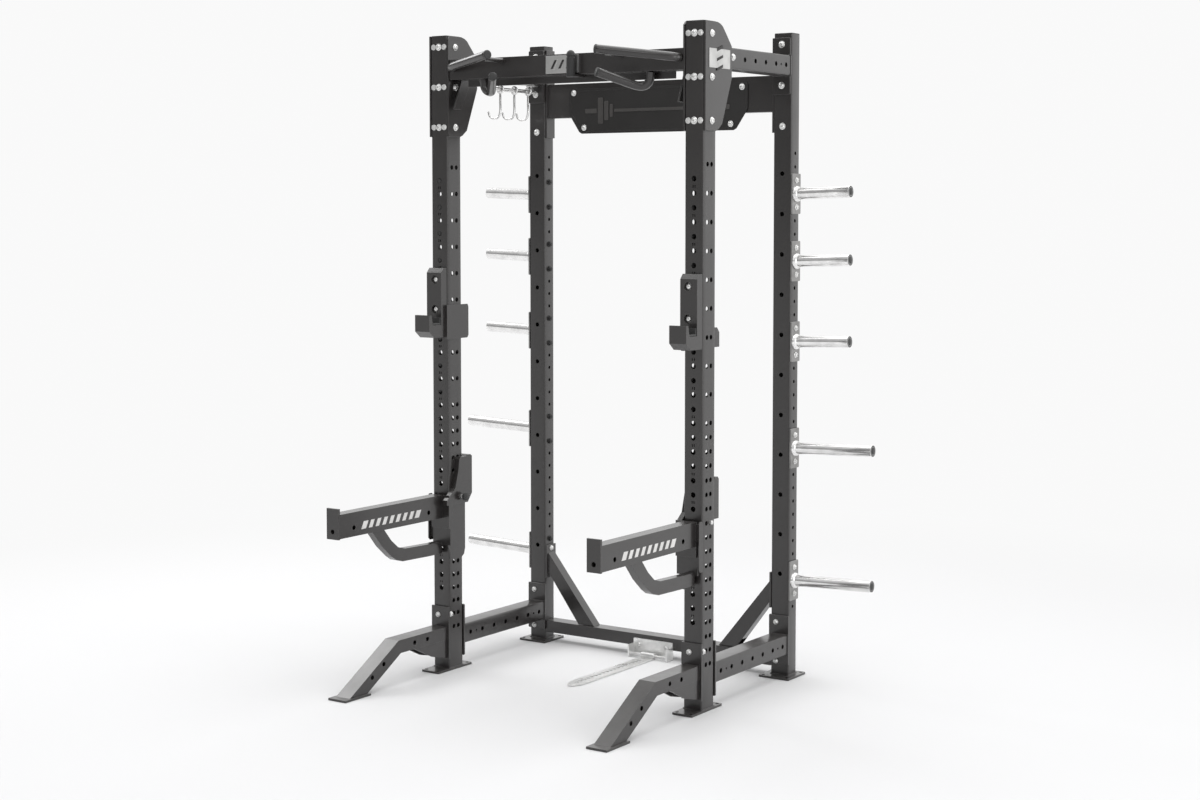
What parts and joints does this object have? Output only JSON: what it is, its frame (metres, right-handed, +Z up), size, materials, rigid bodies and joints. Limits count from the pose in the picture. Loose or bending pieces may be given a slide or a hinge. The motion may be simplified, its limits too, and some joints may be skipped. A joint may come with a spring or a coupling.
{
  "type": "half rack",
  "caption": "Free-standing barbell half rack with perforated posts, J-cups, spotter arms, plate pegs, pull-up grips and a floor tie bar.",
  "frame": {"origin": "centre of the footprint on the floor", "axes": "+Z up along the posts, the lifter stands on the -Y side, +X to the lifter's right when facing the rack"},
  "size_m": [1.8914, 1.352, 2.447],
  "materials": {
    "black_paint": "satin black powder coat",
    "chrome": "polished chrome plate",
    "zinc": "bright zinc plate",
    "black_plastic": "fine textured moulded plastic",
    "grey_plastic": "dense sheet plastic, scuffed"
  },
  "bodies": {
    "rack": {"front_post_right": "black_paint", "front_post_left": "black_paint", "rear_post_right": "black_paint", "rear_post_left": "black_paint", "gusset_outer_right": "black_paint", "gusset_outer_left": "black_paint", "gusset_inner_right": "black_paint", "gusset_inner_left": "black_paint", "top_side_tube_right": "black_paint", "top_side_tube_left": "black_paint", "base_side_tube_right": "black_paint", "base_side_tube_left": "black_paint", "front_leg_right": "black_paint", "front_leg_left": "black_paint", "diagonal_brace_right": "black_paint", "diagonal_brace_left": "black_paint", "upper_grip_right": "black_paint", "upper_grip_left": "black_paint", "lower_grip_right": "black_paint", "lower_grip_left": "black_paint", "rear_foot_beam": "black_paint", "rear_top_beam": "black_paint", "sign_plate": "black_paint", "front_top_beam": "black_paint", "beam_badge": "zinc", "band_peg": "black_plastic", "plate_peg_1_right": "chrome", "peg_cap_1_right": "black_plastic", "plate_peg_1_left": "chrome", "peg_cap_1_left": "black_plastic", "plate_peg_2_right": "chrome", "peg_cap_2_right": "black_plastic", "plate_peg_2_left": "chrome", "peg_cap_2_left": "black_plastic", "plate_peg_3_right": "chrome", "peg_cap_3_right": "black_plastic", "plate_peg_3_left": "chrome", "peg_cap_3_left": "black_plastic", "plate_peg_4_right": "chrome", "peg_cap_4_right": "black_plastic", "plate_peg_4_left": "chrome", "peg_cap_4_left": "black_plastic", "plate_peg_5_right": "chrome", "peg_cap_5_right": "black_plastic", "plate_peg_5_left": "chrome", "peg_cap_5_left": "black_plastic", "hook_rail": "chrome", "tie_clip": "zinc"},
    "j_cup_right": {"j_cup_right": "black_paint", "j_cup_liner_right": "grey_plastic"},
    "j_cup_left": {"j_cup_left": "black_paint", "j_cup_liner_left": "grey_plastic"},
    "spotter_arm_right": {"spotter_arm_right": "black_paint"},
    "spotter_arm_left": {"spotter_arm_left": "black_paint"},
    "arm_pin_right": {"arm_pin_right": "zinc"},
    "arm_pin_left": {"arm_pin_left": "zinc"},
    "rack_hook_1": {"rack_hook_1": "chrome"},
    "rack_hook_2": {"rack_hook_2": "chrome"},
    "rack_hook_3": {"rack_hook_3": "chrome"},
    "floor_tie_bar": {"floor_tie_bar": "zinc"}
  },
  "joints": [
    {"name": "cup_slide_right", "type": "slide", "parent": "rack", "child": "j_cup_right", "axis": [-1, 0, 0], "range_m": [0, 0.12]},
    {"name": "arm_lift_right", "type": "hinge", "parent": "rack", "child": "spotter_arm_right", "pos_m": [0.572, 0.0025, 0.6774], "axis": [-1, 0, 0], "range_deg": [0, 30]},
    {"name": "pin_pull_right", "type": "slide", "parent": "spotter_arm_right", "child": "arm_pin_right", "axis": [-1, 0, 0], "range_m": [0, 0.112]},
    {"name": "cup_slide_left", "type": "slide", "parent": "rack", "child": "j_cup_left", "axis": [1, 0, 0], "range_m": [0, 0.12]},
    {"name": "arm_lift_left", "type": "hinge", "parent": "rack", "child": "spotter_arm_left", "pos_m": [-0.572, 0.0025, 0.6774], "axis": [-1, 0, 0], "range_deg": [0, 30]},
    {"name": "pin_pull_left", "type": "slide", "parent": "spotter_arm_left", "child": "arm_pin_left", "axis": [1, 0, 0], "range_m": [0, 0.112]},
    {"name": "hook_swing_1", "type": "hinge", "parent": "rack", "child": "rack_hook_1", "pos_m": [-0.572, 0.334, 2.262], "axis": [0, 1, 0], "range_deg": [-40, 40]},
    {"name": "hook_swing_2", "type": "hinge", "parent": "rack", "child": "rack_hook_2", "pos_m": [-0.572, 0.427, 2.262], "axis": [0, 1, 0], "range_deg": [-40, 40]},
    {"name": "hook_swing_3", "type": "hinge", "parent": "rack", "child": "rack_hook_3", "pos_m": [-0.572, 0.52, 2.262], "axis": [0, 1, 0], "range_deg": [-40, 40]},
    {"name": "tie_bar_hinge", "type": "hinge", "parent": "rack", "child": "floor_tie_bar", "pos_m": [-0.003, 0.545, 0.014], "axis": [-1, 0, 0], "range_deg": [0, 85]}
  ]
}
